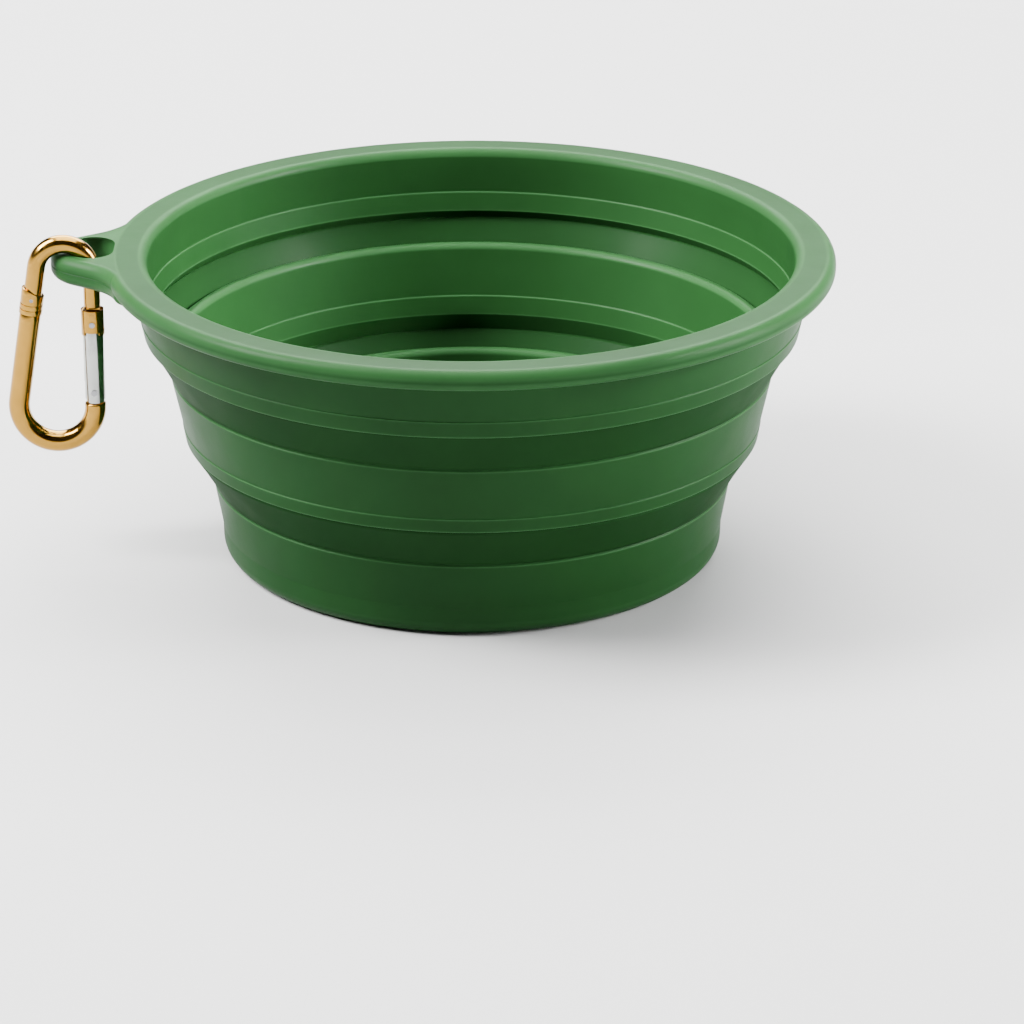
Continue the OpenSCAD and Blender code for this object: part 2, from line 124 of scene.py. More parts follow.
class TabSizes(bpy.types.PropertyGroup):
    eye_x: size("Eye distance", 0.0926, "Distance from the bowl's axis to the middle of the eye")
    eye_width: size("Eye width", 0.0108, "Width of the eye across the tab")
    eye_length: size("Eye length", 0.0160, "Length of the eye along the rim")
    eye_edge: size("Eye edge", 0.0010, "Radius round the eye's upper edge")
    tip: size("Tip width", 0.0048, "Width of the tab past the eye")
    side: size("Side width", 0.0040, "Width of the tab beside the eye")
    thickness: size("Thickness", 0.0070, "Thickness of the tab")
    edge: size("Edge radius", 0.0025, "Radius along the tab's edges")
    shoulder: size("Shoulder radius", 0.0170, "Radius of the hollow shoulder between tab and rim")
    flare: size("Side slope", 0.0084, "Half width that the tab's sides gain towards the rim")
    seam: size("Parting line", 0.00012, "Depth of the mould's parting line")
    flush: size("Flush", 0.00004, "Drop of the tab's top under the rim's top")


class ClipSizes(bpy.types.PropertyGroup):
    bend_z: size("Upper bend height", BEND_Z, "Height of the upper bend's centre")
    bend_gap: size("Bend distance", 0.0351, "Height between the two bends' centres")
    top_bend: size("Upper bend", TOP_BEND, "Radius of the upper bend")
    low_bend: size("Lower bend", 0.0094, "Radius of the lower bend")
    rod: size("Rod", 0.0052, "Thickness of the lower rod")
    hook: size("Hook", HOOK_ROD, "Thickness of the hook arm")
    nose: size("Nose", 0.0041, "Thickness of the hook's nose")
    nose_end: size("Nose end", -0.0095, "Height of the nose's end, from the upper bend's centre", low=-1.0)
    arm: size("Arm", 0.0057, "Length of the hook arm between bend and collar")
    collar: size("Collar", 0.0064, "Length of the spine collar")
    shoulder_z: size("Shoulder", -0.0342, "Height of the shoulder, from the upper bend's centre", low=-1.0)
    hinge_z: size("Hinge", -0.0311, "Height of the gate's hinge, from the upper bend's centre", low=-1.0)
    latch_z: size("Latch", -0.0133, "Height of the latch pin, from the upper bend's centre", low=-1.0)
    tang: size("Tang", 0.0018, "Thickness of the flat tangs inside the gate")
    wire: size("Spring wire", 0.0004, "Thickness of the gate spring's wire")
    turns: FloatProperty(name="Spring turns", description="Turns of the gate spring", default=7, min=2)


class Finishes(bpy.types.PropertyGroup):
    silicone: colour("Silicone", (0.0079, 0.0355, 0.0086), "Colour of the silicone")
    gold: colour("Gold", (0.38, 0.205, 0.032), "Colour of the gold anodised metal")
    silver: colour("Silver", (0.43, 0.44, 0.42), "Colour of the polished gate")
    steel: colour("Steel", (0.30, 0.30, 0.31), "Colour of the pins and the spring")
    floor: colour("Floor", (0.46, 0.46, 0.46), "Colour of the floor")


def bowl():
    return bpy.context.scene.bowl_sizes


def tab():
    return bpy.context.scene.tab_sizes


def clip():
    return bpy.context.scene.clip_sizes


def finishes():
    return bpy.context.scene.bowl_finishes


# Outlines of the bowl's bands, as radius and height

def taper(low_r, low_z, high_r, high_z):
    """Radius of a straight tapered wall at a height."""
    return lambda z: low_r + (high_r - low_r) * (z - low_z) / (high_z - low_z)


def upper_wall():
    b = bowl()
    return taper(b.upper_hem, b.upper_hem_z, b.upper_top, b.height - b.bead)


def middle_wall():
    b = bowl()
    return taper(b.middle_hem, b.middle_hem_z, b.middle_top, b.upper_fold_z)


def base_wall():
    b = bowl()
    return taper(b.base_low, b.foot, b.base_top, b.lower_fold_z)


def inside(wall):
    """Radius of a wall's inner face at a height."""
    thickness = bowl().wall
    return lambda z: wall(z) - thickness


def hem_corners(wall, radius, z, bevel):
    """Outer and inner corner of a band's hem, which slopes up inwards."""
    return (radius, z), (inside(wall)(z + bevel), z + bevel)


def upper_hem_corners():
    b = bowl()
    return hem_corners(upper_wall(), b.upper_hem, b.upper_hem_z, b.upper_bevel)


def middle_hem_corners():
    b = bowl()
    return hem_corners(middle_wall(), b.middle_hem, b.middle_hem_z, b.middle_bevel)


ARC_STEP = radians(10)
LEAST_TURN = radians(1)
FLANK = 0.0003


def rounded(corners, closed=True):
    """Outline through (x, y, radius) corners, with an arc and two short flanks at each corner."""
    points = []
    count = len(corners)
    for i, (x, y, radius) in enumerate(corners):
        here = Vector((x, y))
        end = not closed and i in (0, count - 1)
        if end or radius <= 0:
            points.append(here)
            continue
        back = Vector(corners[i - 1][:2]) - here
        ahead = Vector(corners[(i + 1) % count][:2]) - here
        turn = pi - back.angle(ahead)
        if turn < LEAST_TURN:
            points.append(here)
            continue
        reach = min(radius * tan(turn / 2), back.length / 2, ahead.length / 2)
        radius = reach / tan(turn / 2)
        middle = here + (back.normalized() + ahead.normalized()).normalized() * radius / cos(turn / 2)
        start = here + back.normalized() * reach
        side = start - middle
        finish = here + ahead.normalized() * reach - middle
        sense = 1 if side.cross(finish) > 0 else -1
        steps = max(3, ceil(turn / ARC_STEP))
        if back.length / 2 - reach > FLANK:
            points.append(start + back.normalized() * FLANK)
        for k in range(steps + 1):
            points.append(middle + Matrix.Rotation(sense * turn * k / steps, 2) @ side)
        if ahead.length / 2 - reach > FLANK:
            points.append(middle + finish + ahead.normalized() * FLANK)
    return points


def strip_ledge(wall, z, outward):
    """Corners of the small ledge on top of a hem strip, walking up the wall."""
    b = bowl()
    sign = 1 if outward else -1
    return [(wall(z), z, b.edge / 2), (wall(z + b.step) - sign * b.step, z + b.step, b.edge / 2)]


BEAD_UNDER = 0.9
BEAD_OVER = 1.3


def rim_outline():
    """Upper band, with the bead's edges rounder above than below."""
    b = bowl()
    wall = upper_wall()
    out, inn = upper_hem_corners()
    bead_z = b.height - b.bead
    land_in = b.rim_radius - b.bead_edge - b.land - b.mouth
    return rounded(
        [(*out, b.edge)]
        + strip_ledge(wall, out[1] + b.hem_strip, True)
        + [(b.upper_top - b.edge / 2, bead_z, b.edge * 2),
           (b.rim_radius, bead_z, b.bead_edge * BEAD_UNDER),
           (b.rim_radius, b.height, b.bead_edge * BEAD_OVER),
           (land_in, b.height, b.mouth),
           (land_in, bead_z, b.mouth)]
        + strip_ledge(inside(wall), inn[1] + b.hem_strip, False)[::-1]
        + [(*inn, b.edge)]
    )


def middle_outline():
    b = bowl()
    wall = middle_wall()
    inner = inside(wall)
    out, inn = middle_hem_corners()
    lip = b.upper_fold_z + b.middle_lip
    return rounded(
        [(*out, b.edge)]
        + strip_ledge(wall, out[1] + b.hem_strip, True)
        + [(b.middle_top + b.step, b.upper_fold_z - b.step, b.edge / 2),
           (b.middle_top, b.upper_fold_z, 0),
           (wall(lip), lip, b.wall / 2),
           (inner(lip), lip, b.wall / 2)]
        + strip_ledge(inner, inn[1] + b.hem_strip, False)[::-1]
        + [(*inn, b.edge)]
    )


def base_outline():
    """Base cup with its drinking floor, from the axis above the floor round to the axis below it."""
    b = bowl()
    wall = base_wall()
    inner = inside(wall)
    lip = b.lower_fold_z + b.base_lip
    rest_in = b.base_low - b.foot - b.rest_width
    under = b.floor_z - b.floor_wall
    shell = b.base_low - b.foot_wall
    return rounded(
        [(0, b.floor_z, 0),
         (inner(b.floor_z), b.floor_z, b.floor_fillet),
         (inner(lip), lip, b.wall / 2),
         (wall(lip), lip, b.wall / 2),
         (b.base_top, b.lower_fold_z, 0),
         (b.base_top + b.step, b.lower_fold_z - b.step, b.edge / 2),
         (b.base_low + b.step, b.foot, b.foot / 2),
         (b.base_low, 0, b.foot),
         (rest_in, 0, b.edge),
         (rest_in, b.foot_wall, b.edge),
         (shell, b.foot_wall, b.foot - b.foot_wall),
         (shell, under, b.foot_wall),
         (0, under, 0)],
        closed=False,
    )


def between(a, b, distance):
    """A point a distance from a towards b."""
    step = Vector(b) - Vector(a)
    return Vector(a) + step * distance / step.length


SKIN_STEPS = 14
SKIN_BOW = 0.6
SKIN_SUNK = 0.3
SKIN_LAP = 0.1


def skin_outline(hem, point, wall):
    """Thin curved skin from just inside a hem down to the wall of the band below."""
    b = bowl()
    out, inn = hem
    sunk = Vector((0, b.skin * SKIN_SUNK))
    start_out = between(out, inn, b.skin_inset) + sunk
    start_in = between(out, inn, b.skin_inset + b.skin) + sunk
    end_out = Vector(point) - Vector((b.skin * SKIN_LAP, 0))
    end_in = Vector((wall(point[1] + b.skin) - b.skin * SKIN_SUNK, point[1] + b.skin))
    run = (end_out - start_out).normalized()
    side = Vector((run.y, -run.x))
    outer, inner = [], []
    for i in range(SKIN_STEPS + 1):
        share = i / SKIN_STEPS
        bow = side * (b.skin * SKIN_BOW * share * (1 - share))
        outer.append(start_out.lerp(end_out, share) + bow)
        inner.append(start_in.lerp(end_in, share) + bow)
    return outer + inner[::-1]


# Geometry Nodes trees

WELD = 2e-6
SPIN_RADIUS = 0.1
ROD_SIDES = 64
COIL_STEPS = 24
WIRE_SIDES = 10


def new_tree(name, **sockets):
    """A tree that takes and gives geometry, with more inputs by their name and kind."""
    tree = bpy.data.node_groups.new(name, "GeometryNodeTree")
    for label, kind in {"Geometry": "Geometry", **sockets}.items():
        tree.interface.new_socket(name=label, in_out="INPUT", socket_type="NodeSocket" + kind)
    tree.interface.new_socket(name="Geometry", in_out="OUTPUT", socket_type="NodeSocketGeometry")
    return tree


def connect(tree, target, links):
    """Link or set a node's inputs from (input name, output socket or value) pairs."""
    for name, source in links:
        if isinstance(source, bpy.types.NodeSocket):
            tree.links.new(source, target.inputs[name])
        else:
            target.inputs[name].default_value = source


def node(tree, kind, links=(), **settings):
    """Add a node, set its properties and connect its inputs."""
    made = tree.nodes.new(kind)
    for key, value in settings.items():
        setattr(made, key, value)
    connect(tree, made, links)
    return made


def finish_tree(tree, geometry, material):
    """Merge, smooth, realise and paint the geometry, and link it to the output."""
    merged = node(tree, "GeometryNodeMergeByDistance", [("Geometry", geometry), ("Distance", WELD)])
    smooth = node(tree, "GeometryNodeSetShadeSmooth", [("Geometry", merged.outputs[0])])
    real = node(tree, "GeometryNodeRealizeInstances", [("Geometry", smooth.outputs[0])])
    paint = node(tree, "GeometryNodeSetMaterial", [("Geometry", real.outputs[0]), ("Material", material)])
    node(tree, "NodeGroupOutput", [("Geometry", paint.outputs[0])])
    return tree


def spin_tree():
    """Turns an outline, drawn as edges, about the Z axis."""
    tree = new_tree("Turned outline", Segments="Int", Closed="Bool", Material="Material")
    inputs = node(tree, "NodeGroupInput").outputs
    curve = node(tree, "GeometryNodeMeshToCurve", [("Mesh", inputs["Geometry"])])
    ring = node(tree, "GeometryNodeSetSplineCyclic",
                [("Geometry", curve.outputs[0]), ("Cyclic", inputs["Closed"])])
    path = node(tree, "GeometryNodeCurvePrimitiveCircle",
                [("Resolution", inputs["Segments"]), ("Radius", SPIN_RADIUS)])
    swept = node(tree, "GeometryNodeCurveToMesh",
                 [("Curve", path.outputs[0]), ("Profile Curve", ring.outputs[0])])
    return finish_tree(tree, swept.outputs[0], inputs["Material"])


def rod_tree():
    """Sweeps a round section along a path whose points carry a radius."""
    tree = new_tree("Bent rod", Sides="Int", Material="Material")
    inputs = node(tree, "NodeGroupInput").outputs
    curve = node(tree, "GeometryNodeMeshToCurve", [("Mesh", inputs["Geometry"])])
    width = node(tree, "GeometryNodeInputNamedAttribute", [("Name", "rod_radius")], data_type="FLOAT")
    sized = node(tree, "GeometryNodeSetCurveRadius",
                 [("Curve", curve.outputs[0]), ("Radius", width.outputs[0])])
    section = node(tree, "GeometryNodeCurvePrimitiveCircle",
                   [("Resolution", inputs["Sides"]), ("Radius", 1.0)])
    swept = node(tree, "GeometryNodeCurveToMesh",
                 [("Curve", sized.outputs[0]), ("Profile Curve", section.outputs[0]),
                  ("Scale", width.outputs[0]), ("Fill Caps", True)])
    return finish_tree(tree, swept.outputs[0], inputs["Material"])


def coil_tree():
    """Winds a wire into an open coil along Z, from a place upwards."""
    tree = new_tree("Wound coil", Turns="Float", Radius="Float", Height="Float", Wire="Float",
                    Place="Vector", Material="Material")
    inputs = node(tree, "NodeGroupInput").outputs
    coil = node(tree, "GeometryNodeCurveSpiral",
                [("Resolution", COIL_STEPS), ("Rotations", inputs["Turns"]), ("Height", inputs["Height"]),
                 ("Start Radius", inputs["Radius"]), ("End Radius", inputs["Radius"])])
    section = node(tree, "GeometryNodeCurvePrimitiveCircle",
                   [("Resolution", WIRE_SIDES), ("Radius", inputs["Wire"])])
    swept = node(tree, "GeometryNodeCurveToMesh",
                 [("Curve", coil.outputs[0]), ("Profile Curve", section.outputs[0]), ("Fill Caps", True)])
    placed = node(tree, "GeometryNodeTransform",
                  [("Geometry", swept.outputs[0]), ("Translation", inputs["Place"])])
    return finish_tree(tree, placed.outputs[0], inputs["Material"])


def tree_named(name, make):
    return bpy.data.node_groups.get(name) or make()


# Pieces and their meshes

def new_object(name, data):
    made = bpy.data.objects.new(name, data)
    bpy.context.collection.objects.link(made)
    return made


def piece_from(name, mesh, material):
    """Turn a bmesh into a piece of one material."""
    data = bpy.data.meshes.new(name)
    mesh.to_mesh(data)
    mesh.free()
    data.materials.append(material)
    return new_object(name, data)


def applied(piece):
    """Keep the result of a piece's modifiers as its plain mesh."""
    bpy.context.view_layer.update()
    graph = bpy.context.evaluated_depsgraph_get()
    mesh = bpy.data.meshes.new_from_object(piece.evaluated_get(graph))
    piece.modifiers.clear()
    old = piece.data
    piece.data = mesh
    bpy.data.meshes.remove(old)
    mesh.name = piece.name
    return piece


def welded(piece):
    """Merge a piece's doubles and turn its faces outwards."""
    mesh = bmesh.new()
    mesh.from_mesh(piece.data)
    bmesh.ops.remove_doubles(mesh, verts=mesh.verts, dist=WELD)
    bmesh.ops.recalc_face_normals(mesh, faces=mesh.faces)
    mesh.to_mesh(piece.data)
    mesh.free()
    return piece


def grown(name, mesh, tree, inputs):
    """Run a tree on a mesh and keep the result as a piece at the origin."""
    piece = new_object(name, mesh)
    modifier = piece.modifiers.new(name, "NODES")
    modifier.node_group = tree
    for item in tree.interface.items_tree:
        if item.item_type == "SOCKET" and item.in_out == "INPUT" and item.name in inputs:
            modifier[item.identifier] = inputs[item.name]
    return welded(applied(piece))


def shade_smooth(piece, sharp):
    """Shade a piece smooth, except at edges sharper than an angle."""
    for face in piece.data.polygons:
        face.use_smooth = True
    piece.data.set_sharp_from_angle(angle=sharp)
    return piece


BEVEL_ANGLE = radians(35)
SHARP_ANGLE = radians(28)


def softened(piece, width):
    """Bevel a piece's sharp edges and shade the rest smooth."""
    bevel = piece.modifiers.new("Soft edges", "BEVEL")
    bevel.width = width
    bevel.segments = 2
    bevel.limit_method = "ANGLE"
    bevel.angle_limit = BEVEL_ANGLE
    return shade_smooth(applied(piece), SHARP_ANGLE)


def combine(piece, other, operation):
    """Join or cut a piece with another solid."""
    change = piece.modifiers.new(operation.title(), "BOOLEAN")
    change.operation = operation
    change.solver = "EXACT"
    change.object = other
    applied(piece)
    bpy.data.objects.remove(other)


def join_shell(piece, other):
    """Add another object's faces to a piece, as a shell of its own."""
    with bpy.context.temp_override(active_object=piece, selected_editable_objects=[piece, other]):
        bpy.ops.object.join()


def settle(piece, body, slot, *nodes):
    """Let a piece ride on its body in place of its CAD nodes."""
    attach(piece, body)
    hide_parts(*nodes)


# Turned bands and the painted highlights on their edges

FULL_HIGHLIGHT_BEND = 900.0


def painted_edge_highlight(points, i):
    """How much painted highlight a clockwise outline's point gets: 0 on a wall, 1 on a tight outward edge.
    """
    here = Vector(points[i])
    back = here - Vector(points[i - 1])
    ahead = Vector(points[(i + 1) % len(points)]) - here
    turn = ahead.cross(back) / (back.length * ahead.length)
    bend = turn * 2 / (back.length + ahead.length)
    return min(1, max(0, bend / FULL_HIGHLIGHT_BEND))


def winding(points):
    """Twice an outline's area, above zero where it runs anticlockwise."""
    return sum(a[0] * b[1] - b[0] * a[1] for a, b in zip(points, points[1:] + points[:1]))


def turned(name, points, material, closed=True):
    """A piece turned about the bowl's axis from its outline."""
    if winding(points) > 0:
        points = points[::-1]
    mesh = bpy.data.meshes.new(name)
    count = len(points)
    edges = [(i, i + 1) for i in range(count - 1)] + ([(count - 1, 0)] if closed else [])
    mesh.from_pydata([(x - SPIN_RADIUS, -z, 0) for x, z in points], edges, [])
    # Painted highlight: each point's share of paler edge colour, from how sharply the outline bends there
    rub = mesh.attributes.new("painted_edge_highlight", "FLOAT", "POINT")
    rub.data.foreach_set("value", [painted_edge_highlight(points, i) for i in range(count)])
    return grown(name, mesh, tree_named("Turned outline", spin_tree),
                 {"Segments": bowl().segments, "Closed": closed, "Material": material})


# Hang tab

SLOPE_RUN = 0.0125
LONGEST_SIDE = 0.04
HALVINGS = 60
TIP_STEPS = 26
SIDE_STEPS = 8
SHOULDER_STEPS = 16
ROOT_STEPS = 24
TAB_POINTS = 260
EDGE_STEPS = 7
SUNK_SHARE = 0.924


def tab_outline():
    """Half outline of the tab in plan, from its tip round to the rim."""
    t = tab()
    round_r = t.eye_length / 2 + t.side
    tip_x = t.eye_x + t.eye_width / 2 + t.tip
    centre = Vector((-(tip_x - round_r), 0))
    slope = atan2(t.flare, SLOPE_RUN)
    tip_share = 1 - slope / (pi / 2)
    points = [centre + Vector((-cos(a), sin(a))) * round_r
              for a in (pi / 2 * k / TIP_STEPS * tip_share for k in range(TIP_STEPS + 1))]
    start = points[-1]
    along = Vector((sin(pi / 2 - slope), cos(pi / 2 - slope)))
    across = Vector((-along.y, along.x))
    rim = bowl().rim_radius - t.seam
    # The side is as long as lets the shoulder's arc touch both it and the rim
    low, high = 0.0, LONGEST_SIDE
    for _ in range(HALVINGS):
        run = (low + high) / 2
        pivot = start + along * run + across * t.shoulder
        if pivot.length > rim + t.shoulder:
            low = run
        else:
            high = run
    touch = start + along * low
    pivot = touch + across * t.shoulder
    landing = pivot.normalized() * rim
    points += [start.lerp(touch, (k + 1) / SIDE_STEPS) for k in range(SIDE_STEPS)]
    first = touch - pivot
    turn = first.angle(landing - pivot)
    sense = 1 if first.cross(landing - pivot) > 0 else -1
    points += [pivot + Matrix.Rotation(sense * turn * (k + 1) / SHOULDER_STEPS, 2) @ first
               for k in range(SHOULDER_STEPS)]
    return points


def resampled(points, count):
    """A closed outline with evenly spaced points."""
    ring = points + points[:1]
    lengths = [0.0]
    for a, b in zip(ring, ring[1:]):
        lengths.append(lengths[-1] + (b - a).length)
    made = []
    j = 0
    for k in range(count):
        way = lengths[-1] * k / count
        while j < len(lengths) - 2 and lengths[j + 1] < way:
            j += 1
        gap = lengths[j + 1] - lengths[j]
        made.append(ring[j].lerp(ring[j + 1], (way - lengths[j]) / gap if gap else 0))
    return made


def inset(points, distance):
    """A closed outline that runs anticlockwise, moved inwards, with its points kept in step."""
    made = []
    count = len(points)
    for i, here in enumerate(points):
        run = (points[(i + 1) % count] - points[i - 1]).normalized()
        made.append(here + Vector((-run.y, run.x)) * distance)
    return made


def ringed_solid(name, rings, material):
    """Closed solid with flat ends through (points, height, painted edge highlight) rings of equal counts."""
    mesh = bmesh.new()
    layer = mesh.verts.layers.float.new("painted_edge_highlight")
    rows = []
    for ring, z, rub in rings:
        rows.append([mesh.verts.new((p.x, p.y, z)) for p in ring])
        for corner in rows[-1]:
            corner[layer] = rub
    count = len(rows[0])
    for a, c in zip(rows, rows[1:]):
        for i in range(count):
            j = (i + 1) % count
            mesh.faces.new((a[i], a[j], c[j], c[i]))
    mesh.faces.new(rows[0])
    mesh.faces.new(rows[-1])
    bmesh.ops.recalc_face_normals(mesh, faces=mesh.faces)
    return piece_from(name, mesh, material)


def quarter(radius, steps):
    """Insets, drops and painted edge highlight of a rounded edge, from its flat face to its side."""
    rub = min(1, 1 / (radius * FULL_HIGHLIGHT_BEND))
    made = []
    for k in range(steps + 1):
        angle = pi / 2 * k / steps
        share = 1 if 0 < k < steps else 0.5
        made.append((radius * (1 - sin(angle)), radius * (1 - cos(angle)), rub * share))
    return made


def tab_heights():
    """Height of the tab's top and underside."""
    return bowl().height - tab().flush, bowl().height - tab().thickness


def tab_solid(material):
    """Tab with rounded edges, a parting line and hollow shoulders, sunk into the rim."""
    t = tab()
    half = tab_outline()
    landing = half[-1]
    out = landing.normalized()
    away = Vector((out.y, -out.x))
    sunk = bowl().rim_radius * SUNK_SHARE
    turn = (landing.length - sunk) / 2
    half += [out * (landing.length - turn) + (out * cos(a) + away * sin(a)) * turn
             for a in (pi * k / ROOT_STEPS for k in range(1, ROOT_STEPS + 1))]
    root = atan2(landing.y, -landing.x)
    inner = [Vector((-cos(a), sin(a))) * sunk
             for a in (root * (1 - 2 * k / ROOT_STEPS) for k in range(1, ROOT_STEPS))]
    outline = [Vector((p.x, -p.y)) for p in half[:0:-1]] + half + inner
    outline = resampled(outline, TAB_POINTS)
    if winding(outline) < 0:
        outline = outline[::-1]
    top, low = tab_heights()
    seam_z = (top + low) / 2
    edge = quarter(t.edge, EDGE_STEPS)
    rings = [(inset(outline, step), top - drop, rub) for step, drop, rub in edge]
    for step, rise in ((0, t.seam), (t.seam, 0), (0, -t.seam)):
        rings.append((inset(outline, step), seam_z + rise, 0))
    rings += [(inset(outline, step), low + drop, rub) for step, drop, rub in reversed(edge)]
    return ringed_solid("hang_tab", rings, material)


EYE_STEPS = 40
EYE_EDGE_STEPS = 6
EYE_UNDER = 0.6


def eye_ring(radius):
    """The eye's outline in plan, with half rounds at both ends."""
    t = tab()
    half = (t.eye_length - t.eye_width) / 2
    ring = [Vector((-t.eye_x + radius * cos(a), half + radius * sin(a)))
            for a in (pi * k / EYE_STEPS for k in range(EYE_STEPS + 1))]
    return ring + [Vector((2 * -t.eye_x - p.x, -p.y)) for p in ring]


def eye_cutter(material):
    """Long eye, flared at both ends so that it leaves rounded edges, less so below."""
    t = tab()
    top, low = tab_heights()
    upper = t.eye_edge
    lower = t.eye_edge * EYE_UNDER
    beyond = t.eye_edge * 2
    flares = [(upper, top + beyond, 0)]
    flares += [(upper - step, top - drop, rub)
               for drop, step, rub in reversed(quarter(upper, EYE_EDGE_STEPS))]
    flares += [(lower - step, low + drop, rub) for drop, step, rub in quarter(lower, EYE_EDGE_STEPS)]
    flares += [(lower, low - beyond, 0)]
    rings = [(eye_ring(t.eye_width / 2 + grow), z, rub) for grow, z, rub in flares]
    return ringed_solid("eye_cutter", rings, material)


def highlight_places(piece):
    """Place and painted edge highlight of each point of a piece."""
    rub = piece.data.attributes["painted_edge_highlight"].data
    return [(point.co.copy(), rub[point.index].value) for point in piece.data.vertices]


def share_highlight(piece, places):
    """Give each point of a piece the painted edge highlight of the nearest of some (place, highlight) pairs.
    """
    near = KDTree(len(places))
    for i, (place, _) in enumerate(places):
        near.insert(place, i)
    near.balance()
    values = [places[near.find(point.co)[1]][1] for point in piece.data.vertices]
    piece.data.attributes["painted_edge_highlight"].data.foreach_set("value", values)


RIM_SHARP = radians(40)


def rim_with_tab(material):
    """Upper band and rim with the hang tab grown onto it and the eye cut through both."""
    piece = turned("rim_band_moulding", rim_outline(), material)
    tab_piece, eye = tab_solid(material), eye_cutter(material)
    places = highlight_places(piece) + highlight_places(tab_piece) + highlight_places(eye)
    combine(piece, tab_piece, "UNION")
    combine(piece, eye, "DIFFERENCE")
    # A cut doesn't carry the painted edge highlights over
    share_highlight(piece, places)
    shade_smooth(piece, RIM_SHARP)
    # Weighted normals keep the large flat faces flat
    even = piece.modifiers.new("Weighted normals", "WEIGHTED_NORMAL")
    even.keep_sharp = True
    return applied(piece)


# Clip

NOSE_STEPS = 6
NOSE_SHOULDER = 0.0004
TOP_BEND_STEPS = 40
LOW_BEND_STEPS = 56
ARM_STEPS = 8
SPINE_STEPS = 10
ARM_IN_COLLAR = 0.45
SPIGOT_IN_COLLAR = 0.4
SPIGOT_PLAY = 0.0002
SPIGOT_GAP = 0.0001
ROD_CHAMFER = 0.0003
SHOULDER_CHAMFER = 0.0002
CHAMFER_CROWN = 0.35


def clip_point(x, z, y=0.0):
    """From the clip's own plane to the bowl's frame."""
    return Vector((GATE_X + x, CLIP_Y + y, clip().bend_z + z))


def spine_lean():
    c = clip()
    return 2 * atan2(c.low_bend - c.top_bend, c.bend_gap)


def spine_point(way):
    """Point of the spine at a distance down from the upper bend's end."""
    c = clip()
    lean = spine_lean()
    head = (-c.top_bend * (1 + cos(lean)), c.top_bend * sin(lean))
    return head[0] - way * sin(lean), head[1] - way * cos(lean)


def rod_piece(name, path, material):
    """A bent rod from (x, z, radius) points of the clip's plane."""
    mesh = bpy.data.meshes.new(name)
    edges = [(i, i + 1) for i in range(len(path) - 1)]
    mesh.from_pydata([clip_point(x, z) for x, z, _ in path], edges, [])
    width = mesh.attributes.new("rod_radius", "FLOAT", "POINT")
    width.data.foreach_set("value", [r for _, _, r in path])
    return grown(name, mesh, tree_named("Bent rod", rod_tree), {"Sides": ROD_SIDES, "Material": material})


def chamfered_end(x, z, dx, dz, radius, cut):
    """Points of a rod's end that starts at [x, z] and runs along [dx, dz], with a crowned chamfer."""
    crown = cut * CHAMFER_CROWN
    return [(x, z, radius - cut), (x + dx * crown, z + dz * crown, radius - crown),
            (x + dx * cut, z + dz * cut, radius)]


def hook_path():
    """Hook arm from its nose up, over the upper bend and down into the collar."""
    c = clip()
    nose, hook = c.nose / 2, c.hook / 2
    path = chamfered_end(0, c.nose_end, 0, 1, nose, ROD_CHAMFER)
    path += [(0, c.nose_end * (1 - k / NOSE_STEPS), nose) for k in range(1, NOSE_STEPS)]
    path += [(0, -NOSE_SHOULDER, nose), (0, 0, hook)]
    sweep = pi - spine_lean()
    path += [(-c.top_bend + c.top_bend * cos(a), c.top_bend * sin(a), hook)
             for a in (sweep * k / TOP_BEND_STEPS for k in range(1, TOP_BEND_STEPS + 1))]
    end = c.arm + c.collar * ARM_IN_COLLAR
    path += [(*spine_point(end * k / ARM_STEPS), hook) for k in range(1, ARM_STEPS + 1)]
    return path


def rod_path():
    """Lower rod from its spigot down the spine, round the lower bend and up to its shoulder."""
    c = clip()
    lean = spine_lean()
    radius = c.rod / 2
    spigot = c.hook / 2 - SPIGOT_PLAY
    start = c.arm + c.collar
    path = [(*spine_point(start - way), spigot) for way in (c.collar * SPIGOT_IN_COLLAR, SPIGOT_GAP)]
    path += chamfered_end(*spine_point(start), -sin(lean), -cos(lean), radius, SHOULDER_CHAMFER)
    path += [(*spine_point(start + (c.bend_gap - start) * k / SPINE_STEPS), radius)
             for k in range(1, SPINE_STEPS + 1)]
    sweep = pi + lean
    path += [(-c.low_bend + c.low_bend * cos(a), -c.bend_gap + c.low_bend * sin(a), radius)
             for a in (pi - lean + sweep * k / LOW_BEND_STEPS for k in range(1, LOW_BEND_STEPS + 1))]
    return path + chamfered_end(0, c.shoulder_z, 0, -1, radius, ROD_CHAMFER)[::-1]


PLATE_EDGE = 0.0001
PLATE_LAP = 0.0001
JAW_STEP = 0.0006
JAW_PLAY = 0.00015
NOTCH = 0.0007
NOTCH_DEPTH = 0.8
TANG_RISE = 0.0016


def plate(name, outline, thickness, material):
    """Flat plate in the clip's plane, with softened edges."""
    mesh = bmesh.new()
    front = [mesh.verts.new(clip_point(x, z, -thickness / 2)) for x, z in outline]
    back = [mesh.verts.new(clip_point(x, z, thickness / 2)) for x, z in outline]
    mesh.faces.new(front)
    mesh.faces.new(back[::-1])
    count = len(outline)
    for i in range(count):
        j = (i + 1) % count
        mesh.faces.new((front[j], front[i], back[i], back[j]))
    bmesh.ops.recalc_face_normals(mesh, faces=mesh.faces)
    return softened(piece_from(name, mesh, material), PLATE_EDGE)


def tongue_outline():
    """Flat tongue below the nose, with a notch that the latch pin drops into."""
    c = clip()
    back, front = -(c.nose / 2 - JAW_STEP), c.nose / 2 - JAW_PLAY
    top, end = c.nose_end + PLATE_LAP, c.latch_z - NOTCH - JAW_STEP
    return [(back, top), (back, c.latch_z + NOTCH), (0, c.latch_z + NOTCH), (NOTCH * NOTCH_DEPTH, c.latch_z),
            (0, c.latch_z - NOTCH), (back, c.latch_z - NOTCH), (back, end), (front, end), (front, top)]


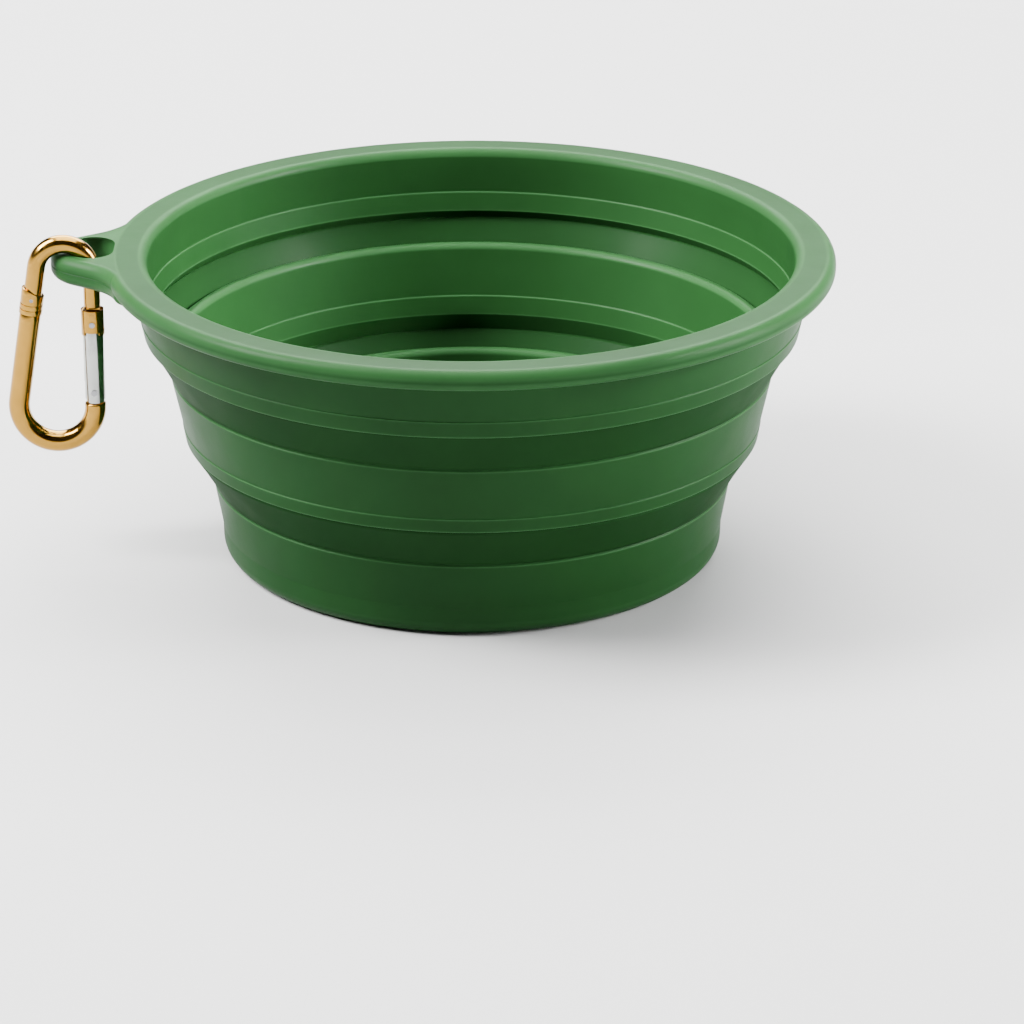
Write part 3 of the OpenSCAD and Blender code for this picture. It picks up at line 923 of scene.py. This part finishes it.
def tang_outline():
    """Flat tang above the rod's shoulder, that the gate's rivet goes through."""
    c = clip()
    half = c.nose / 2
    low, top = c.shoulder_z - PLATE_LAP, c.hinge_z + TANG_RISE
    return [(-half, low), (half, low), (half, top), (-half, top)]


FACET_ANGLE = radians(0.6)
COLLAR_EDGE = 0.00010
COLLAR_PIN_EDGE = 0.00004
GATE_EDGE = 0.00012
GATE_PIN_EDGE = 0.00005


def machined(name, node_name, material, bevel):
    """A CAD piece with its facets merged into clean faces and its edges softened."""
    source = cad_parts[node_name]
    mesh = bmesh.new()
    mesh.from_mesh(source.data)
    mesh.transform(source.matrix_world)
    bmesh.ops.remove_doubles(mesh, verts=mesh.verts, dist=WELD)
    bmesh.ops.dissolve_limit(mesh, angle_limit=FACET_ANGLE, verts=mesh.verts, edges=mesh.edges)
    return softened(piece_from(name, mesh, material), bevel)


def wound_spring(material):
    """Coil inside the gate."""
    c = clip()
    name = "gate_spring_coil"
    low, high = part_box("gate_spring")
    middle = (low + high) / 2
    wire = c.wire / 2
    piece = grown(name, bpy.data.meshes.new(name), tree_named("Wound coil", coil_tree), {
        "Turns": c.turns, "Radius": (high.x - low.x) / 2 - wire, "Height": high.z - low.z - c.wire,
        "Wire": wire, "Place": (middle.x, middle.y, low.z + wire), "Material": material})
    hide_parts("gate_spring")
    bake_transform(piece)


# Materials, whose patterns lie in metres on each piece's own coordinates

def new_material(name):
    material = bpy.data.materials.new(name)
    material.use_nodes = True
    tree = material.node_tree
    return material, tree, tree.nodes["Principled BSDF"]


def object_noise(tree, scale, detail, rough=0.5, stretch=None):
    """Noise on the piece's own coordinates, stretched along an axis if asked."""
    place = node(tree, "ShaderNodeTexCoord").outputs["Object"]
    if stretch:
        place = node(tree, "ShaderNodeMapping", [("Vector", place), ("Scale", stretch)]).outputs[0]
    noise = node(tree, "ShaderNodeTexNoise",
                 [("Vector", place), ("Scale", scale), ("Detail", detail), ("Roughness", rough)])
    return noise.outputs["Fac"]


def ranged(tree, value, reach, low, high):
    """A value, with its reach spread from low to high."""
    links = [("Value", value), ("From Min", reach[0]), ("From Max", reach[1]),
             ("To Min", low), ("To Max", high)]
    return node(tree, "ShaderNodeMapRange", links).outputs[0]


NOISE_REACH = (0.25, 0.75)


def spread(tree, noise, low, high):
    return ranged(tree, noise, NOISE_REACH, low, high)


def toned(tree, factor, low, high):
    """A colour between two, each a plain colour or a socket."""
    ends = [(name, end if isinstance(end, bpy.types.NodeSocket) else (*end, 1))
            for name, end in (("A", low), ("B", high))]
    return node(tree, "ShaderNodeMix", [("Factor", factor), *ends], data_type="RGBA").outputs["Result"]


def bumped(tree, height, strength, distance, under=None):
    """A bump of a height in metres, on top of another if one is given."""
    links = [("Height", height), ("Strength", strength), ("Distance", distance)]
    if under:
        links.append(("Normal", under))
    return node(tree, "ShaderNodeBump", links).outputs[0]


def shaded(tone, share, lift=0.0):
    """A colour times a share, with a little white added if asked."""
    return tuple(part * share + lift for part in tone)


# Noises as scale, detail and roughness, and bumps as strength and height
CLOUD = (38, 3)
CLOUD_SHADES = (0.90, 1.12)
BLOTCH = (90, 4)
BLOTCH_ROUGHNESS = (-0.04, 0.05)
SWELL = (140, 2)
SWELL_BUMP = (0.10, 0.0004)
GRAIN = (2600, 3, 0.6)
GRAIN_BUMP = (0.16, 0.00008)
# Colour of the painted edge highlights: the silicone times a share, with a little white added
PAINTED_HIGHLIGHT_SHADE = 2.4
PAINTED_HIGHLIGHT_LIFT = 0.012
HIGHLIGHT_LEAST = 0.7
SILICONE_IOR = 1.42
COAT_ROUGHNESS = 0.30


def silicone_material(name, shade, rough, gloss, rub):
    """Satin moulded silicone: faint clouding, paler edges as painted highlights, fine grain and a dry sheen.
    """
    material, tree, shader = new_material(name)
    base = finishes().silicone
    cloud = object_noise(tree, *CLOUD)
    dark, light = (shaded(base, shade * share) for share in CLOUD_SHADES)
    skin = toned(tree, spread(tree, cloud, 0, 1), dark, light)
    # Painted highlight: paler colour along sharply bent edges, read from a point attribute
    edges = node(tree, "ShaderNodeAttribute", attribute_name="painted_edge_highlight").outputs["Fac"]
    uneven = spread(tree, cloud, rub * HIGHLIGHT_LEAST, rub)
    painted_highlight = node(tree, "ShaderNodeMath", [(0, edges), (1, uneven)], operation="MULTIPLY").outputs[0]
    blotch = object_noise(tree, *BLOTCH)
    smoother, rougher = (rough + change for change in BLOTCH_ROUGHNESS)
    swell = bumped(tree, object_noise(tree, *SWELL), *SWELL_BUMP)
    connect(tree, shader, [
        ("Base Color", toned(tree, painted_highlight, skin, shaded(base, shade * PAINTED_HIGHLIGHT_SHADE, PAINTED_HIGHLIGHT_LIFT))),
        ("Roughness", spread(tree, blotch, smoother, rougher)),
        ("Normal", bumped(tree, object_noise(tree, *GRAIN), *GRAIN_BUMP, swell)),
        ("IOR", SILICONE_IOR),
        ("Specular IOR Level", gloss),
        ("Coat Weight", gloss / 2),
        ("Coat Roughness", COAT_ROUGHNESS)])
    return material


MARKS = (260, 5, 0.6)
MARK_SHADE = 0.82
STREAKS = (900, 3, 0.6, (1.0, 1.0, 0.06))
STREAK_ROUGHNESS = 0.05
STREAK_BUMP = (0.05, 0.00002)


def metal_material(name, base, rough):
    """Polished metal with faint drawing marks and a little tone in the metal."""
    material, tree, shader = new_material(name)
    marks = object_noise(tree, *MARKS)
    streaks = object_noise(tree, *STREAKS)
    connect(tree, shader, [
        ("Base Color", toned(tree, spread(tree, marks, 0, 1), shaded(base, MARK_SHADE), base)),
        ("Roughness", spread(tree, streaks, rough - STREAK_ROUGHNESS, rough + STREAK_ROUGHNESS)),
        ("Normal", bumped(tree, streaks, *STREAK_BUMP)),
        ("Metallic", 1.0)])
    return material


HORIZON_GLOW = 2.6
GLOW_REACH = (0.5, 1.5)
FLOOR_CLOUD = (3, 2)
FLOOR_CLOUD_SHADE = 0.985
FLOOR_ROUGHNESS = 0.85
FLOOR_GLOSS = 0.15


def floor_material():
    """Pale matt floor, that glows far away so that it stays pale where the lamps don't reach."""
    material, tree, shader = new_material("Pale floor")
    tone = finishes().floor
    cloud = object_noise(tree, *FLOOR_CLOUD)
    place = node(tree, "ShaderNodeTexCoord").outputs["Object"]
    away = node(tree, "ShaderNodeVectorMath", [(0, place)], operation="LENGTH").outputs["Value"]
    connect(tree, shader, [
        ("Base Color", toned(tree, cloud, shaded(tone, FLOOR_CLOUD_SHADE), tone)),
        ("Roughness", FLOOR_ROUGHNESS),
        ("Specular IOR Level", FLOOR_GLOSS),
        ("Emission Color", (1, 1, 1, 1)),
        ("Emission Strength", ranged(tree, away, GLOW_REACH, 0.0, HORIZON_GLOW))])
    return material


def material_named(name, make, **finish):
    return bpy.data.materials.get(name) or make(name, **finish)


def silicone():
    return material_named("Silicone", silicone_material, shade=1.0, rough=0.42, gloss=0.04, rub=0.65)


def fold_silicone_painted_shade():
    """Silicone of the fold skins, with painted shade: a darker copy of the silicone for the shaded fold
    recesses, drier, and with no painted edge highlights.
    """
    # Painted shade: the shade share below one darkens the same silicone where the folds lie in shade
    return material_named("Fold silicone", silicone_material, shade=0.74, rough=0.58, gloss=0.02, rub=0.0)


def gold():
    return material_named("Gold anodised", metal_material, base=finishes().gold, rough=0.17)


def silver():
    return material_named("Polished silver", metal_material, base=finishes().silver, rough=0.16)


def steel():
    return material_named("Steel", metal_material, base=finishes().steel, rough=0.30)


# Stage

FLOOR_REACH = 40.0
SPOT_ANGLE = radians(9)
SPOT_SOFTNESS = 0.05
BOWL_MIDDLE = (0, 0, 0.03)
BEHIND_BOWL = (0, 0.35, 0)
LEFT_INSIDE = (-0.060, 0.025, 0.044)
RIGHT_INSIDE = (0.058, 0.040, 0.044)
HORIZON_BAND = (0.06, 0.14)
WORLD_FILL = 0.02
CAMERA_FOCUS_PIXELS = 4738
FRAME_PIXELS = 1024
SENSOR_MM = 36
CAMERA_PLACE = (0.00992, -1.0973, 0.4487)
CAMERA_PITCH = 21.91


def lay_floor():
    mesh = bpy.data.meshes.new("pale_floor")
    corners = [(x * FLOOR_REACH, y * FLOOR_REACH, 0) for x, y in ((-1, -1), (1, -1), (1, 1), (-1, 1))]
    mesh.from_pydata(corners, [], [(0, 1, 2, 3)])
    mesh.materials.append(floor_material())
    floor = new_object("pale_floor", mesh)


def hung(name, kind, place, aim, power):
    """Hang a lamp, turned to its aim, and give its settings back."""
    data = bpy.data.lights.new(name, kind)
    data.energy = power
    lamp = new_object(name, data)
    lamp.location = place
    lamp.rotation_euler = (Vector(aim) - Vector(place)).to_track_quat("-Z", "Y").to_euler()
    return data


def softbox(name, place, aim, width, height, power):
    box = hung(name, "AREA", place, aim, power)
    box.shape = "RECTANGLE"
    box.size = width
    box.size_y = height


def soft_spot(name, place, aim, power):
    """A small accent light with a soft edge."""
    spot = hung(name, "SPOT", place, aim, power)
    spot.spot_size = SPOT_ANGLE
    spot.spot_blend = 1.0
    spot.shadow_soft_size = SPOT_SOFTNESS


def hang_lights():
    softbox("back_softbox", (0.0, 0.55, 1.1), BOWL_MIDDLE, 1.2, 0.8, 14)
    softbox("far_softbox", (0.0, 1.1, 1.0), BEHIND_BOWL, 1.4, 0.8, 72)
    softbox("left_softbox", (-0.9, -0.1, 0.95), BOWL_MIDDLE, 0.5, 0.7, 74)
    softbox("top_softbox", (0.0, 0.0, 1.3), BOWL_MIDDLE, 1.0, 1.0, 30)
    softbox("right_softbox", (1.0, -0.1, 0.35), BOWL_MIDDLE, 0.4, 0.7, 32)
    soft_spot("well_spot_right", (0.50, -0.15, 0.35), LEFT_INSIDE, 180)
    soft_spot("well_spot_left", (-0.50, -0.15, 0.38), RIGHT_INSIDE, 100)


def light_world():
    """A pale horizon behind the floor, and little light from higher up."""
    world = bpy.data.worlds.new("studio")
    world.use_nodes = True
    tree = world.node_tree
    way = node(tree, "ShaderNodeTexCoord").outputs["Generated"]
    height = node(tree, "ShaderNodeSeparateXYZ", [("Vector", way)]).outputs["Z"]
    connect(tree, tree.nodes["Background"], [
        ("Color", (1, 1, 1, 1)),
        ("Strength", ranged(tree, height, HORIZON_BAND, HORIZON_GLOW, WORLD_FILL))])
    bpy.context.scene.world = world


def set_camera():
    data = bpy.data.cameras.new("photo_camera")
    data.sensor_width = SENSOR_MM
    data.lens = CAMERA_FOCUS_PIXELS / FRAME_PIXELS * SENSOR_MM
    camera = new_object("photo_camera", data)
    camera.location = CAMERA_PLACE
    camera.rotation_euler = (radians(90 - CAMERA_PITCH), 0, 0)
    bpy.context.scene.camera = camera


# Operators

class BOWL_OT_bands(bpy.types.Operator):
    """Turn the base cup, the middle band and the upper band, and add the hang tab"""
    bl_idname = "pet_bowl.bands"
    bl_label = "Bowl Bands"

    def execute(self, context):
        base = turned("base_cup_moulding", base_outline(), silicone(), closed=False)
        settle(base, "root", "silicone", "base_cup", "base_floor")
        middle = turned("middle_band_moulding", middle_outline(), silicone())
        settle(middle, "middle", "silicone", "middle_band")
        settle(rim_with_tab(silicone()), "rim", "silicone", "rim_band")
        return {"FINISHED"}


class BOWL_OT_fold_skins(bpy.types.Operator):
    """Turn the two thin fold skins"""
    bl_idname = "pet_bowl.fold_skins"
    bl_label = "Fold Skins"

    def execute(self, context):
        b = bowl()
        folds = (
            ("upper_fold_moulding", "upper_fold_skin", "middle", "rim",
             upper_hem_corners(), (b.middle_top, b.upper_fold_z), middle_wall()),
            ("lower_fold_moulding", "lower_fold_skin", "root", "middle",
             middle_hem_corners(), (b.base_top, b.lower_fold_z), base_wall()),
        )
        for name, node_name, below, above, hem, point, wall in folds:
            piece = turned(name, skin_outline(hem, point, wall), fold_silicone_painted_shade())
            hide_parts(node_name)
            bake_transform(piece)
        return {"FINISHED"}


class BOWL_OT_clip_frame(bpy.types.Operator):
    """Bend the hook arm and the lower rod, and fit the collar and its pin"""
    bl_idname = "pet_bowl.clip_frame"
    bl_label = "Clip Frame"

    def execute(self, context):
        tang = clip().tang
        arm = rod_piece("hook_arm_bent", hook_path(), gold())
        join_shell(arm, plate("tongue", tongue_outline(), tang, gold()))
        settle(arm, "clip", "gold_anodised", "hook_arm")
        rod = rod_piece("spine_rod_bent", rod_path(), gold())
        join_shell(rod, plate("tang", tang_outline(), tang, gold()))
        settle(rod, "clip", "gold_anodised", "spine_rod")
        collar = machined("spine_collar_turned", "spine_collar", gold(), COLLAR_EDGE)
        settle(collar, "clip", "gold_anodised", "spine_collar")
        pin = machined("collar_pin_turned", "collar_pin", steel(), COLLAR_PIN_EDGE)
        settle(pin, "clip", "steel", "collar_pin")
        return {"FINISHED"}


class BOWL_OT_gate(bpy.types.Operator):
    """Finish the spring gate: its tube, cap, pins, plunger and spring"""
    bl_idname = "pet_bowl.gate"
    bl_label = "Spring Gate"

    def execute(self, context):
        parts = (
            ("gate_tube_turned", "gate_tube", silver(), GATE_EDGE, "polished_silver"),
            ("gate_cap_turned", "gate_cap", gold(), GATE_EDGE, "gold_anodised"),
            ("latch_pin_turned", "latch_pin", steel(), GATE_PIN_EDGE, "steel"),
            ("hinge_rivet_turned", "hinge_rivet", steel(), GATE_PIN_EDGE, "steel"),
        )
        for name, node_name, material, edge, slot in parts:
            settle(machined(name, node_name, material, edge), "gate", slot, node_name)
        wound_spring(steel())
        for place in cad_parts["gate_plunger"].material_slots:
            place.material = steel()
        return {"FINISHED"}


class BOWL_OT_stage(bpy.types.Operator):
    """Lay the pale floor, hang the soft lights and set the camera"""
    bl_idname = "pet_bowl.stage"
    bl_label = "Stage"

    def execute(self, context):
        lay_floor()
        hang_lights()
        light_world()
        set_camera()
        return {"FINISHED"}


class BOWL_PT_panel(bpy.types.Panel):
    """Sizes, finishes and the steps that build the bowl"""
    bl_label = "Pet Bowl"
    bl_idname = "BOWL_PT_panel"
    bl_space_type = "VIEW_3D"
    bl_region_type = "UI"
    bl_category = "Pet Bowl"

    def draw(self, context):
        for step in STEPS:
            self.layout.operator(step.bl_idname)
        for group in (bowl(), tab(), clip(), finishes()):
            box = self.layout.box()
            for name in group.__annotations__:
                box.prop(group, name)


STEPS = (BOWL_OT_bands, BOWL_OT_fold_skins, BOWL_OT_clip_frame, BOWL_OT_gate, BOWL_OT_stage)
GROUPS = {"bowl_sizes": BowlSizes, "tab_sizes": TabSizes, "clip_sizes": ClipSizes, "bowl_finishes": Finishes}


def register():
    for item in (*GROUPS.values(), *STEPS, BOWL_PT_panel):
        bpy.utils.register_class(item)
    for name, group in GROUPS.items():
        setattr(bpy.types.Scene, name, PointerProperty(type=group))


def unregister():
    for name in GROUPS:
        delattr(bpy.types.Scene, name)
    for item in (BOWL_PT_panel, *reversed(STEPS), *reversed(GROUPS.values())):
        bpy.utils.unregister_class(item)


def main():
    register()
    for step in STEPS:
        group, name = step.bl_idname.split(".")
        getattr(getattr(bpy.ops, group), name)()
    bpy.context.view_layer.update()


if __name__ == "__main__":
    main()
